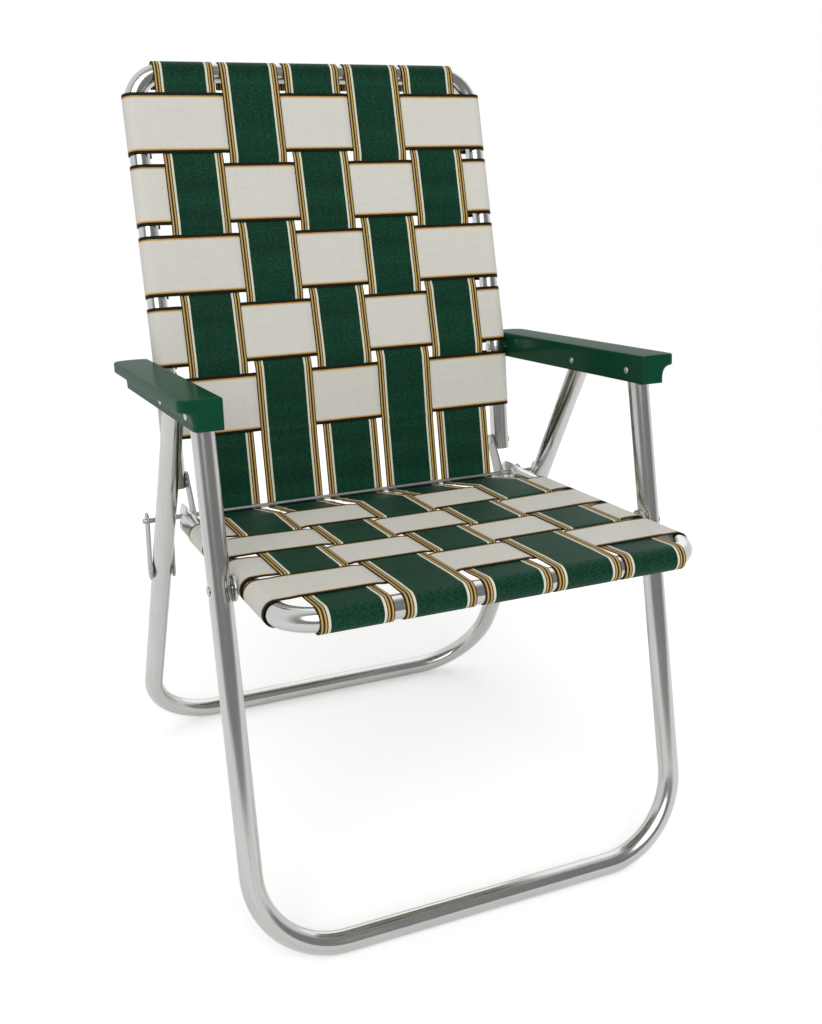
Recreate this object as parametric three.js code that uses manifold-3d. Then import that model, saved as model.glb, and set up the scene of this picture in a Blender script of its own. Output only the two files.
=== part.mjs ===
import * as THREE from 'three';
import { mergeVertices } from 'three/addons/utils/BufferGeometryUtils.js';
import Module from 'manifold-3d';

// Folding lawn chair of round aluminium tube, woven webbing and moulded armrests.
// Millimetres, +Z up, +Y towards the back, -X is the left side. The floor is z = 0.

// Tube stock and fasteners
const tubeR = 12.7;
const tubeWall = 1.2;
const rivetR = 3.2;
const rivetHeadR = 5.6;
const rivetHeadHeight = 2;
const rodR = 3.2;
const fit = 0.3;
const weldTolerance = 0.0003;

// Places of the frames across the chair, from the middle to a tube's centre
const legX = 268.5;
const railX = 238;

// Pivots, seen from the side
const armLegPivot = { y: -122, z: 592 };
const armRearLegPivot = { y: 5, z: 578 };
const armBackPivot = { y: 193, z: 560 };
const seatLegPivot = { y: -167.2, z: 412 };
const rodPivot = { y: 143, z: 385.2 };
const backPlateRivet = { y: 172, z: 427 };
const linkRivetZ = 315;

// Ends of the frames, seen from the side
const frontFootY = -266.8;
const rearFootY = 305;
const seatFront = { y: -304.7, z: 424.4 };
const backTop = { y: 304.7, z: 932.5 };

// Bends, on the tube's centre line
const footBendR = 100;
const seatBendR = 45;
const backBendR = 45;
const backKinkR = 90;
const bendSteps = 6;
const kinkSteps = 2;

// Ends of the tubes past their pivots
const legTopRise = 10;
const backTubeTail = 12;

// Flattened rear ends of the seat rails
const tabX = 236;
const tabThickness = 5;
const tabHalfWidth = 17;
const tabRise = 15;
const tabTaper = 26;
const tabStraight = 16;

// Webbing
const webThickness = 1.2;
const webWidth = 78;
const webTail = 18;
const longPitch = 87;
const longCount = 5;
const backRowPitch = 91;
const backRowStart = 68;
const backRows = 5;
const seatRowPitch = 81;
const seatRowStart = 73;
const seatRows = 4;
const weaveLead = 1;
const backLead = 9;

// Armrests
const armInnerX = 253;
const armBodyWidth = 31;
const armTopWidth = 45.7;
const armHeight = 34.5;
const armTopAbovePivot = 20.9;
const armAheadOfPivot = 36;
const armBehindPivot = 36;
const armWall = 2.5;
const armTopWall = 3.5;
const armFrontWall = 4;
const armRearBlock = 12;
const armLipHeight = 9;
const armCoveHeight = 5.5;
const armEdgeR = 4;
const armFrontCornerR = 12;
const armRearCornerR = 16;

// Hinge plates and link plates
const hingePlateThickness = 3;
const hingePlateR = 13;
const hingePlateTopR = 9;
const linkPlateThickness = 2.2;
const linkPlateR = 11;
const linkPlateGap = 1;
const rodTail = 4.6;
const openPivotPlay = 2;

// Roundness of circles: half the number of sides
const tubeHalfSides = 8;
const tubeBoreHalfSides = 6;
const pinSides = 12;
const arcStep = Math.PI / 8;
const armSectionSteps = 4;
const armPlanSteps = 6;

// Derived sizes
const webOffset = tubeR + fit + webThickness / 2;
const weaveOffset = webThickness + fit;
const rodWrapR = rodR + fit + webThickness / 2;
const holeR = rivetR + fit;
const rodReach = legX + tubeR + linkPlateGap + linkPlateThickness + rodTail;
const acrossX = new THREE.Vector3(1, 0, 0);
const overrun = tubeR;

const finishes = {
  tube: { color: 0xc9cac6, roughness: 0.28, metalness: 0.95 },
  steel: { color: 0xb4b5b2, roughness: 0.35, metalness: 0.95 },
  plastic: { color: 0x2f7350, roughness: 0.35, metalness: 0 },
  greenWeb: { color: 0x1d5a40, roughness: 0.6, metalness: 0 },
  creamWeb: { color: 0xdbd6c8, roughness: 0.6, metalness: 0 },
};

const wasm = await Module();
wasm.setup();

const chair = new THREE.Group();

function addNode(name, geometry, finish, parent = chair) {
  const mesh = new THREE.Mesh(geometry, new THREE.MeshStandardMaterial(finishes[finish]));
  mesh.name = name;
  parent.add(mesh);
  return mesh;
}

// Joining and cutting closed meshes
function toSolid(geometry) {
  const bare = geometry.clone();
  bare.deleteAttribute('normal');
  bare.deleteAttribute('uv');
  const merged = mergeVertices(bare, weldTolerance);
  const mesh = new wasm.Mesh({
    numProp: 3,
    vertProperties: new Float32Array(merged.attributes.position.array),
    triVerts: new Uint32Array(merged.index.array),
  });
  return new wasm.Manifold(mesh);
}

function toGeometry(solid) {
  const mesh = solid.getMesh();
  const geometry = new THREE.BufferGeometry();
  geometry.setAttribute('position', new THREE.BufferAttribute(new Float32Array(mesh.vertProperties), 3));
  geometry.setIndex(new THREE.BufferAttribute(new Uint32Array(mesh.triVerts), 1));
  geometry.computeVertexNormals();
  return geometry;
}

function cut(geometry, cutters) {
  const solid = cutters.reduce((whole, cutter) => whole.subtract(toSolid(cutter)), toSolid(geometry));
  return toGeometry(solid);
}

// A cylinder along X through a point of the side view
function crossPin(point, radius, fromX, toX) {
  const length = toX - fromX;
  const pin = new THREE.CylinderGeometry(radius, radius, length, pinSides);
  pin.rotateZ(-Math.PI / 2);
  pin.translate(fromX + length / 2, point.y, point.z);
  return pin;
}

function holeAcross(point, radius = holeR) {
  const reach = legX + tubeR + overrun;
  return crossPin(point, radius, -reach, reach);
}

// Side-view geometry: a point is a Vector2 holding y and z
function side(point) {
  return new THREE.Vector2(point.y, point.z);
}

function between(from, to) {
  return to.clone().sub(from).normalize();
}

function at(x, flat) {
  return new THREE.Vector3(x, flat.x, flat.y);
}

// A route through given points, so that straight runs need no points of their own
class Route extends THREE.Curve {
  constructor(points) {
    super();
    this.points = points;
  }

  getPointAt(share) {
    return this.points[Math.round(share * (this.points.length - 1))].clone();
  }

  getTangentAt(share) {
    const here = Math.round(share * (this.points.length - 1));
    const tangent = new THREE.Vector3();
    if (here > 0) {
      tangent.add(this.points[here].clone().sub(this.points[here - 1]).normalize());
    }
    if (here < this.points.length - 1) {
      tangent.add(this.points[here + 1].clone().sub(this.points[here]).normalize());
    }
    return tangent.normalize();
  }
}

// The points of a bent tube: each corner is a point, a bend radius and a number of steps
function bentRoute(corners) {
  const points = [];
  corners.forEach((corner, index) => {
    if (!corner.radius) {
      points.push(corner.point);
      return;
    }
    const back = corners[index - 1].point.clone().sub(corner.point).normalize();
    const ahead = corners[index + 1].point.clone().sub(corner.point).normalize();
    const half = back.angleTo(ahead) / 2;
    const middle = back.clone().add(ahead).normalize();
    const centre = corner.point.clone().addScaledVector(middle, corner.radius / Math.sin(half));
    const start = corner.point.clone().addScaledVector(back, corner.radius / Math.tan(half));
    const arm = start.clone().sub(centre);
    const axis = back.clone().cross(ahead).normalize();
    const turn = Math.PI - 2 * half;
    for (let step = 0; step <= corner.steps; step += 1) {
      const spoke = arm.clone().applyAxisAngle(axis, -turn * step / corner.steps);
      points.push(centre.clone().add(spoke));
    }
  });
  return points;
}

function tubeAlong(corners) {
  const points = bentRoute(corners);
  const section = new THREE.Shape();
  section.absarc(0, 0, tubeR, 0, 2 * Math.PI);
  const bore = new THREE.Path();
  bore.absarc(0, 0, tubeR - tubeWall, 0, 2 * Math.PI);
  section.holes.push(bore);
  return new THREE.ExtrudeGeometry(section, {
    steps: points.length - 1,
    curveSegments: tubeHalfSides,
    extrudePath: new Route(points),
  });
}

// The corners of a U-shaped frame, from the left end round to the right end
function mirrored(leftCorners) {
  const right = leftCorners.map((corner) => ({
    ...corner,
    point: corner.point.clone().multiply(new THREE.Vector3(-1, 1, 1)),
  }));
  return [...leftCorners, ...right.reverse()];
}

// Leg frames
const floorZ = tubeR;
const frontFoot = new THREE.Vector2(frontFootY, floorZ);
const rearFoot = new THREE.Vector2(rearFootY, floorZ);
const rearLegWay = between(side(armRearLegPivot), rearFoot);
const linkRivetReach = (linkRivetZ - armRearLegPivot.z) / rearLegWay.y;
const linkRivetFlat = side(armRearLegPivot).addScaledVector(rearLegWay, linkRivetReach);
const linkRivet = { y: linkRivetFlat.x, z: linkRivetFlat.y };

function legFrame(topPivot, foot) {
  const top = side(topPivot).addScaledVector(between(side(topPivot), foot), -legTopRise);
  return tubeAlong(mirrored([
    { point: at(-legX, top) },
    { point: at(-legX, foot), radius: footBendR, steps: bendSteps },
  ]));
}

addNode('front_leg_frame', cut(legFrame(armLegPivot, frontFoot), [
  holeAcross(armLegPivot),
  holeAcross(seatLegPivot),
]), 'tube');

addNode('rear_leg_frame', cut(legFrame(armRearLegPivot, rearFoot), [
  holeAcross(armRearLegPivot),
  holeAcross(linkRivet),
]), 'tube');

// Seat frame: a U with its rear ends pressed flat for the hinge rod
const seatWay = between(side(seatFront), side(rodPivot));
const seatUp = new THREE.Vector2(-seatWay.y, seatWay.x);
const seatLength = side(rodPivot).distanceTo(side(seatFront));

function seatPoint(along, above) {
  return side(seatFront).addScaledVector(seatWay, along).addScaledVector(seatUp, above);
}

function pressEnds(geometry) {
  const place = geometry.attributes.position;
  const taperStart = seatLength - tabStraight - tabTaper;
  for (let index = 0; index < place.count; index += 1) {
    const flat = new THREE.Vector2(place.getY(index), place.getZ(index)).sub(side(seatFront));
    const along = flat.dot(seatWay);
    const pressed = THREE.MathUtils.smoothstep(along, taperStart, taperStart + tabTaper);
    if (pressed > 0) {
      const hand = Math.sign(place.getX(index));
      const outward = Math.abs(place.getX(index)) - railX;
      const above = flat.dot(seatUp);
      const radius = Math.hypot(outward, above);
      const thin = (tabThickness / 2 - (tubeR - radius)) / radius;
      const wide = (tabHalfWidth - (tubeR - radius)) / radius;
      const newOutward = outward * THREE.MathUtils.lerp(1, thin, pressed);
      const newAbove = above * THREE.MathUtils.lerp(1, wide, pressed);
      const middle = THREE.MathUtils.lerp(railX, tabX, pressed);
      const spot = seatPoint(along, newAbove);
      place.setXYZ(index, hand * (middle + newOutward), spot.x, spot.y);
    }
  }
  return geometry;
}

const tabStations = [
  seatLength + tabRise,
  seatLength - tabStraight,
  seatLength - tabStraight - tabTaper / 2,
  seatLength - tabStraight - tabTaper,
];
const seatTube = tubeAlong(mirrored([
  ...tabStations.map((along) => ({ point: at(-railX, seatPoint(along, 0)) })),
  { point: at(-railX, side(seatFront)), radius: seatBendR, steps: bendSteps },
]));
const seatRivetHole = crossPin(seatLegPivot, rivetR + openPivotPlay, -legX, legX);
addNode('seat_frame', cut(pressEnds(seatTube), [seatRivetHole, holeAcross(rodPivot)]), 'tube');

// Back frame: an upturned U with a slight bend at the armrests
const backPivotFlat = side(armBackPivot);
const upperWay = between(side(backTop), backPivotFlat);
const lowerWay = between(backPivotFlat, side(backPlateRivet));
const upperLength = side(backTop).distanceTo(backPivotFlat);

function ahead(way) {
  return new THREE.Vector2(way.y, -way.x);
}

function backPoint(along, forward) {
  const spot = along < upperLength
    ? side(backTop).addScaledVector(upperWay, along)
    : backPivotFlat.clone().addScaledVector(lowerWay, along - upperLength);
  return spot.addScaledVector(ahead(along < upperLength ? upperWay : lowerWay), forward);
}

const backTubeEnd = upperLength + backPivotFlat.distanceTo(side(backPlateRivet)) + backTubeTail;
const backTube = tubeAlong(mirrored([
  { point: at(-railX, backPoint(backTubeEnd, 0)) },
  { point: at(-railX, backPivotFlat), radius: backKinkR, steps: kinkSteps },
  { point: at(-railX, side(backTop)), radius: backBendR, steps: bendSteps },
]));
addNode('back_frame', cut(backTube, [holeAcross(armBackPivot), holeAcross(backPlateRivet)]), 'tube');

// Flat plates in the side view: two round ends joined by straight sides, with a hole at each end
function plate(from, to, fromR, toR, fromX, thickness) {
  const start = side(from);
  const end = side(to);
  const heading = Math.atan2(end.y - start.y, end.x - start.x);
  const open = Math.acos((fromR - toR) / start.distanceTo(end));
  const outline = new THREE.Shape();
  outline.absarc(start.x, start.y, fromR, heading + open, heading - open + 2 * Math.PI);
  outline.absarc(end.x, end.y, toR, heading - open, heading + open);
  [start, end].forEach((centre) => {
    const hole = new THREE.Path();
    hole.absarc(centre.x, centre.y, holeR, 0, 2 * Math.PI);
    outline.holes.push(hole);
  });
  return sideways(outline, thickness, fromX);
}

// An outline in y and z, thickened along X
function sideways(outline, thickness, fromX) {
  const geometry = new THREE.ExtrudeGeometry(outline, {
    depth: thickness,
    bevelEnabled: false,
    curveSegments: tubeBoreHalfSides,
  });
  geometry.applyMatrix4(new THREE.Matrix4().makeBasis(
    new THREE.Vector3(0, 1, 0),
    new THREE.Vector3(0, 0, 1),
    acrossX,
  ));
  geometry.translate(fromX, 0, 0);
  return geometry;
}

// Rivets lie along X and are given from their low end to their high end
const domeR = rivetHeadR / 2;
const domeRise = rivetHeadHeight * 3 / 4;
const lowHead = (x) => [[0, x - rivetHeadHeight], [domeR, x - domeRise], [rivetHeadR, x], [rivetR, x]];
const highHead = (x) => [[rivetR, x], [rivetHeadR, x], [domeR, x + domeRise], [0, x + rivetHeadHeight]];
const lowTip = (x) => [[0, x], [rivetR, x]];
const highTip = (x) => [[rivetR, x], [0, x]];

function rivet(point, lowEnd, highEnd) {
  const profile = [...lowEnd, ...highEnd].map(([radius, along]) => new THREE.Vector2(radius, along));
  const geometry = new THREE.LatheGeometry(profile, pinSides);
  geometry.rotateZ(-Math.PI / 2);
  geometry.translate(0, point.y, point.z);
  return geometry;
}

const linkInnerX = legX - tubeR - linkPlateGap - linkPlateThickness;
const linkOuterX = legX + tubeR + linkPlateGap;
const armOuterX = armInnerX + armBodyWidth;
const railInner = railX - tubeR;
const hingePlateX = railInner - fit - hingePlateThickness;
const legOuter = legX + tubeR;
const hands = [['left', -1], ['right', 1]];

// A piece made for the right side, or its mirror image for the left
function handed(geometry, hand) {
  return hand > 0 ? geometry : toGeometry(toSolid(geometry).mirror([1, 0, 0]));
}

for (const [name, hand] of hands) {
  const hingePlate = plate(rodPivot, backPlateRivet, hingePlateR, hingePlateTopR,
    hingePlateX, hingePlateThickness);
  addNode(`hinge_plate_${name}`, handed(hingePlate, hand), 'steel');

  const inner = plate(rodPivot, linkRivet, linkPlateR, linkPlateR, linkInnerX, linkPlateThickness);
  addNode(`link_plate_inner_${name}`, handed(inner, hand), 'steel');
  const outer = plate(rodPivot, linkRivet, linkPlateR, linkPlateR, linkOuterX, linkPlateThickness);
  addNode(`link_plate_outer_${name}`, handed(outer, hand), 'steel');

  const rivets = {
    arm_front_rivet: [armLegPivot, lowHead(armInnerX - fit), highHead(armOuterX + fit)],
    arm_middle_rivet: [armRearLegPivot, lowHead(armInnerX - fit), highHead(armOuterX + fit)],
    arm_rear_rivet: [armBackPivot, lowHead(railInner - fit), highHead(armInnerX + armWall + fit)],
    seat_rivet: [seatLegPivot, lowHead(railInner - fit), highHead(legOuter + fit)],
    hinge_plate_rivet: [backPlateRivet, lowHead(hingePlateX - fit), highHead(railX + tubeR + fit)],
    link_rivet_inner: [linkRivet, lowTip(linkInnerX), highTip(legX - tubeR - fit)],
    link_rivet_outer: [linkRivet, lowTip(legOuter + fit), highHead(linkOuterX + linkPlateThickness + fit)],
  };
  for (const [rivetName, [point, lowEnd, highEnd]] of Object.entries(rivets)) {
    addNode(`${rivetName}_${name}`, handed(rivet(point, lowEnd, highEnd), hand), 'steel');
  }
}

addNode('hinge_rod', crossPin(rodPivot, rodR, -rodReach, rodReach), 'steel');

// Webbing: a path in the flat, thickened to both sides
function ribbon(path) {
  const half = webThickness / 2;
  const offset = (index, distance) => {
    const here = path[index];
    const before = index > 0 ? between(path[index - 1], here) : null;
    const after = index < path.length - 1 ? between(here, path[index + 1]) : null;
    const first = before ?? after;
    const second = after ?? before;
    const mean = first.clone().add(second).normalize();
    const stretch = distance / mean.dot(first);
    return new THREE.Vector2(here.x - mean.y * stretch, here.y + mean.x * stretch);
  };
  const left = path.map((_, index) => offset(index, half));
  const right = path.map((_, index) => offset(index, -half));
  return new THREE.Shape([...left, ...right.reverse()]);
}

function arcPoints(centre, radius, fromAngle, toAngle) {
  const steps = Math.max(1, Math.round(Math.abs(toAngle - fromAngle) / arcStep));
  return Array.from({ length: steps + 1 }, (_, step) => {
    const angle = THREE.MathUtils.lerp(fromAngle, toAngle, step / steps);
    return new THREE.Vector2(Math.cos(angle), Math.sin(angle)).multiplyScalar(radius).add(centre);
  });
}

// A cross strap: flat between the side tubes, wrapped round each and tucked under
function crossStrap(spot, up) {
  const end = arcPoints(new THREE.Vector2(railX, 0), webOffset, Math.PI / 2, -Math.PI / 2);
  const half = [...end, new THREE.Vector2(railX - webTail, -webOffset)];
  const mirroredHalf = half.map((point) => new THREE.Vector2(-point.x, point.y)).reverse();
  const geometry = new THREE.ExtrudeGeometry(ribbon([...mirroredHalf, ...half]), {
    depth: webWidth,
    bevelEnabled: false,
  });
  const upward = at(0, up);
  const through = acrossX.clone().cross(upward);
  geometry.applyMatrix4(new THREE.Matrix4().makeBasis(acrossX, upward, through));
  const start = at(0, spot).addScaledVector(through, -webWidth / 2);
  geometry.translate(start.x, start.y, start.z);
  return geometry;
}

const backRowAt = (row) => backRowStart + row * backRowPitch;
const seatRowAt = (row) => seatRowStart + row * seatRowPitch;
const seatRivetAlong = side(seatLegPivot).sub(side(seatFront)).dot(seatWay);

for (let row = 0; row < backRows; row += 1) {
  const along = backRowAt(row);
  const way = along < upperLength ? upperWay : lowerWay;
  addNode(`back_cross_strap_${row + 1}`, crossStrap(backPoint(along, 0), ahead(way)), 'creamWeb');
}
for (let row = 0; row < seatRows; row += 1) {
  const strap = crossStrap(seatPoint(seatRowAt(row), 0), seatUp);
  const meetsRivet = Math.abs(seatRowAt(row) - seatRivetAlong) < webWidth / 2 + rivetR + openPivotPlay;
  addNode(`seat_cross_strap_${row + 1}`, meetsRivet ? cut(strap, [seatRivetHole]) : strap, 'creamWeb');
}

// The woven run of a long strap: below a row where row and strap are both odd or both even
function wovenRun(rows, rowAt, pointAt, strap) {
  const path = [];
  for (let row = 0; row < rows; row += 1) {
    const under = (row + strap) % 2 === 0;
    const height = webOffset + (under ? -weaveOffset : weaveOffset);
    const reach = webWidth / 2 + weaveLead;
    path.push(pointAt(rowAt(row) - reach, height), pointAt(rowAt(row) + reach, height));
  }
  return path;
}

// Where a straight strap from a point meets the curve round the hinge rod
function rodTouch(from, turn) {
  const centre = side(rodPivot);
  const offset = from.clone().sub(centre);
  return Math.atan2(offset.y, offset.x) + turn * Math.acos(rodWrapR / offset.length());
}

const underRod = -Math.PI / 2;
const rodGapAngle = fit / rodWrapR;

function railWrap(centre, way, up, turn) {
  const start = Math.atan2(-up.y, -up.x);
  const tuck = centre.clone().addScaledVector(up, -webOffset).addScaledVector(way, webTail);
  return [tuck, ...arcPoints(centre, webOffset, start, start + turn)];
}

function seatStrapPath(strap) {
  const wrap = railWrap(side(seatFront), seatWay, seatUp, -Math.PI);
  const woven = wovenRun(seatRows, seatRowAt, seatPoint, strap);
  const touch = rodTouch(woven[woven.length - 1], 1) - 2 * Math.PI;
  const dip = arcPoints(side(rodPivot), rodWrapR, touch, underRod - rodGapAngle);
  return [...wrap, ...woven, ...dip];
}

function backStrapPath(strap) {
  const wrap = railWrap(side(backTop), upperWay, ahead(upperWay), Math.PI);
  const woven = wovenRun(backRows, backRowAt, backPoint, strap);
  const lead = backPoint(backRowAt(backRows - 1) + webWidth / 2 + backLead, webOffset);
  const dip = arcPoints(side(rodPivot), rodWrapR, rodTouch(lead, -1), underRod + rodGapAngle);
  return [...wrap, ...woven, lead, ...dip];
}

for (let strap = 0; strap < longCount; strap += 1) {
  const fromX = (strap - (longCount - 1) / 2) * longPitch - webWidth / 2;
  addNode(`seat_long_strap_${strap + 1}`, sideways(ribbon(seatStrapPath(strap)), webWidth, fromX), 'greenWeb');
  addNode(`back_long_strap_${strap + 1}`, sideways(ribbon(backStrapPath(strap)), webWidth, fromX), 'greenWeb');
}

// Armrests: made along Y about the front pivot, then tilted to the line of the pivots
const armWay = between(side(armLegPivot), side(armBackPivot));
const armTilt = Math.atan2(armWay.y, armWay.x);
const armFrontEnd = -armAheadOfPivot;
const armRearEnd = side(armLegPivot).distanceTo(side(armBackPivot)) + armBehindPivot;
const armLength = armRearEnd - armFrontEnd;
const armBottom = armTopAbovePivot - armHeight;

function armSection() {
  const outer = armInnerX + armTopWidth;
  const lipBottom = armTopAbovePivot - armLipHeight;
  const coveBottom = lipBottom - armCoveHeight;
  const coveMiddleX = armOuterX + (outer - armOuterX) / 4;
  const coveMiddle = lipBottom - armCoveHeight / 4;
  const section = new THREE.Shape();
  section.moveTo(armInnerX, armBottom);
  section.lineTo(armOuterX, armBottom);
  section.lineTo(armOuterX, coveBottom);
  section.quadraticCurveTo(coveMiddleX, coveMiddle, outer - armEdgeR / 2, lipBottom);
  section.lineTo(outer, lipBottom + armEdgeR / 2);
  section.lineTo(outer, armTopAbovePivot - armEdgeR);
  section.quadraticCurveTo(outer, armTopAbovePivot, outer - armEdgeR, armTopAbovePivot);
  section.lineTo(armInnerX + armEdgeR / 2, armTopAbovePivot);
  section.lineTo(armInnerX, armTopAbovePivot - armEdgeR / 2);
  const body = new THREE.ExtrudeGeometry(section, { depth: armLength, bevelEnabled: false, curveSegments: armSectionSteps });
  body.rotateX(Math.PI / 2);
  body.translate(0, armRearEnd, 0);
  return body;
}

function armPlan() {
  const inner = armInnerX;
  const outer = armInnerX + armTopWidth;
  const plan = new THREE.Shape();
  plan.moveTo(inner, armFrontEnd + armEdgeR);
  plan.quadraticCurveTo(inner, armFrontEnd, inner + armEdgeR, armFrontEnd);
  plan.lineTo(outer - armFrontCornerR, armFrontEnd);
  plan.quadraticCurveTo(outer, armFrontEnd, outer, armFrontEnd + armFrontCornerR);
  plan.lineTo(outer, armRearEnd - armRearCornerR);
  plan.quadraticCurveTo(outer, armRearEnd, outer - armRearCornerR, armRearEnd);
  plan.lineTo(inner + armEdgeR, armRearEnd);
  plan.lineTo(inner, armRearEnd - armEdgeR);
  const depth = armHeight + 2 * overrun;
  const prism = new THREE.ExtrudeGeometry(plan, { depth, bevelEnabled: false, curveSegments: armPlanSteps });
  prism.translate(0, 0, armBottom - overrun);
  return prism;
}

function armChannel() {
  const width = armBodyWidth - 2 * armWall;
  const length = armLength - armFrontWall - armRearBlock;
  const height = armHeight - armTopWall + overrun;
  const channel = new THREE.BoxGeometry(width, length, height);
  channel.translate(
    armInnerX + armBodyWidth / 2,
    armFrontEnd + armFrontWall + length / 2,
    armBottom - overrun + height / 2,
  );
  return channel;
}

function inArm(point) {
  const flat = side(point).sub(side(armLegPivot));
  const up = new THREE.Vector2(-armWay.y, armWay.x);
  return { y: flat.dot(armWay), z: flat.dot(up) };
}

function armrest() {
  const throughFrom = armInnerX - overrun;
  const throughTo = armOuterX + overrun;
  const block = toSolid(armSection()).intersect(toSolid(armPlan())).subtract(toSolid(armChannel()));
  const drilled = [armLegPivot, armRearLegPivot]
    .map((point) => crossPin(inArm(point), holeR, throughFrom, throughTo))
    .concat(crossPin(inArm(armBackPivot), holeR, throughFrom, armInnerX + armBodyWidth / 2))
    .reduce((solid, hole) => solid.subtract(toSolid(hole)), block);
  return toGeometry(drilled);
}

const arms = new THREE.Group();
arms.position.set(0, armLegPivot.y, armLegPivot.z);
arms.rotation.x = armTilt;
chair.add(arms);
for (const [name, hand] of hands) {
  addNode(`armrest_${name}`, handed(armrest(), hand), 'plastic', arms);
}

export default chair;
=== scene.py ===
import math

import bmesh
import bpy
import numpy as np
from mathutils import Matrix, Vector


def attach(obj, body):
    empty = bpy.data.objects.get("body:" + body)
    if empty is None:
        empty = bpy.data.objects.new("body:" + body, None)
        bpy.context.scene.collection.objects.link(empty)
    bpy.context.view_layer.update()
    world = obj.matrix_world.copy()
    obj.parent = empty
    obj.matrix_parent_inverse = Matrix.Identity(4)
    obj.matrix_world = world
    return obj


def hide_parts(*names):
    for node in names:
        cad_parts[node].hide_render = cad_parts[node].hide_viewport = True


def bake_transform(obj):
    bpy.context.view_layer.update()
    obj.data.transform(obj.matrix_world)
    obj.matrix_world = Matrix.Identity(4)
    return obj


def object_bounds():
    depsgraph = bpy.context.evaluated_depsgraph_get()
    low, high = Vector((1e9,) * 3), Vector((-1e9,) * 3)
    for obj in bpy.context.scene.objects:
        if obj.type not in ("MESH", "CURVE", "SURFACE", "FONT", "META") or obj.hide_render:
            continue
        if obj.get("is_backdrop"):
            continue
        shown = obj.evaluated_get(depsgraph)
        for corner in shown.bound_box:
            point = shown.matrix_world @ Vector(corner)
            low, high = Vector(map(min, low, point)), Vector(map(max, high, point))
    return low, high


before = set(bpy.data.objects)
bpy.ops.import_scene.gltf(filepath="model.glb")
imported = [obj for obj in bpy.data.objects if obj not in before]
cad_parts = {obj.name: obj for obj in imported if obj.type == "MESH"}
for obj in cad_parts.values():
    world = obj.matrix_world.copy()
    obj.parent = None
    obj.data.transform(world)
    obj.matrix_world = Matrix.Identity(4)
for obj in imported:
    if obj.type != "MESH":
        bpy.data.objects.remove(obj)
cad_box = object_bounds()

# A folding lawn chair of bent aluminium tube, woven webbing and moulded armrests.
# Sizes are in millimetres: +Z is up, +Y towards the back, -X the left side, and the floor is z = 0.
MM = 0.001
IMAGE_WIDTH = 822
IMAGE_HEIGHT = 1024

# Tube, fasteners and places across the chair
TUBE_R = 12.7
TUBE_WALL = 1.2
TUBE_STEP = 20
RIVET_R = 3.2
RIVET_HEAD_R = 5.6
RIVET_HEAD_HEIGHT = 2.0
RIVET_HEAD_RIM = 0.35
SMALL_HEAD_R = 4.2
DENT = 0.6
COLLAR_R = 15
COLLAR_X = (252.7, 255.5)
COLLAR_EDGE = 0.6
ROD_R = 3.2
ROD_REACH = 289
ROD_EDGE = 0.8
ROD_PLAIN_END = 10
FIT = 0.3
LEG_X = 268.5
RAIL_X = 238.0


def flat(y, z):
    """A point of the side view."""
    return np.array([y, z], float)


def unit(vector):
    return np.asarray(vector, float) / np.linalg.norm(vector)


def smooth(value):
    """An even rise from 0 to 1 that starts and ends level."""
    value = np.clip(value, 0, 1)
    return value * value * (3 - 2 * value)


# Pivots and ends of the frames, seen from the side
ARM_LEG = flat(-122, 592)
ARM_REAR_LEG = flat(5, 578)
ARM_BACK = flat(193, 560)
SEAT_LEG = flat(-167.2, 412)
ROD = flat(143, 385.2)
PLATE_RIVET = flat(172, 427)
LINK_RIVET_Z = 315
FRONT_FOOT = flat(-266.8, TUBE_R)
REAR_FOOT = flat(305, TUBE_R)
SEAT_FRONT = flat(-304.7, 424.4)
BACK_TOP = flat(304.7, 932.5)
REAR_LEG_WAY = unit(REAR_FOOT - ARM_REAR_LEG)
LINK_RIVET = ARM_REAR_LEG + REAR_LEG_WAY * (LINK_RIVET_Z - ARM_REAR_LEG[1]) / REAR_LEG_WAY[1]

# Bends and tube ends
FOOT_BEND_R = 100
SEAT_BEND_R = 45
BACK_BEND_R = 45
BACK_KINK_R = 90
LEG_TOP_RISE = 10
BACK_TUBE_TAIL = 12
TAB_X = 236
TAB_THICKNESS = 5
TAB_HALF_WIDTH = 17
TAB_RISE = 15
TAB_TAPER = 26
TAB_STRAIGHT = 16
TAB_STEP = 3

# Webbing
WEB_THICKNESS = 1.2
WEB_WIDTH = 78.0
WEB_TAIL = 18
BACK_ROW_PITCH = 91
BACK_ROW_START = 68
BACK_ROWS = 5
SEAT_ROW_PITCH = 81
SEAT_ROW_START = 73
SEAT_ROWS = 4
SEAT_ROW_WIDTH = 74.0
LONG_AT_FRONT = (-171, -81, 7, 91, 174)
LONG_AT_TOP = (-172, -86, 0, 86.5, 171)
LONG_WAVE = 0.95
CROSS_WAVE = 0.55
BACK_LEAD = 9
SEAT_SAG = 3.0
BACK_SAG = 2.0
WEB_OFFSET = TUBE_R + FIT + WEB_THICKNESS / 2
ROD_WRAP_R = ROD_R + FIT + WEB_THICKNESS / 2
# A woven strap starts to slope this far from the middle of the strap it crosses
SLOPE_START = WEB_WIDTH / 2 + 0.4
# About what a long strap has in its tuck and its wrap, before it runs along the frame
STRAP_LEAD = 60
STEP = 3.0

# Armrests
ARM_INNER_X = 253.0
ARM_BODY_WIDTH = 31.0
ARM_TOP_WIDTH = 45.7
ARM_HEIGHT = 34.5
ARM_TOP = 20.9
ARM_AHEAD = 36
ARM_BEHIND = 36
ARM_WALL = 2.5
ARM_TOP_WALL = 3.5
ARM_FRONT_WALL = 4
ARM_REAR_BLOCK = 12
ARM_LIP = 13.5
ARM_FRONT_CORNER = 12
ARM_REAR_CORNER = 16

# Plates
HINGE_PLATE_THICKNESS = 3
HINGE_PLATE_R = 13
HINGE_PLATE_TOP_R = 9
LINK_PLATE_THICKNESS = 2.2
LINK_PLATE_R = 11
LINK_PLATE_GAP = 1


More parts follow.
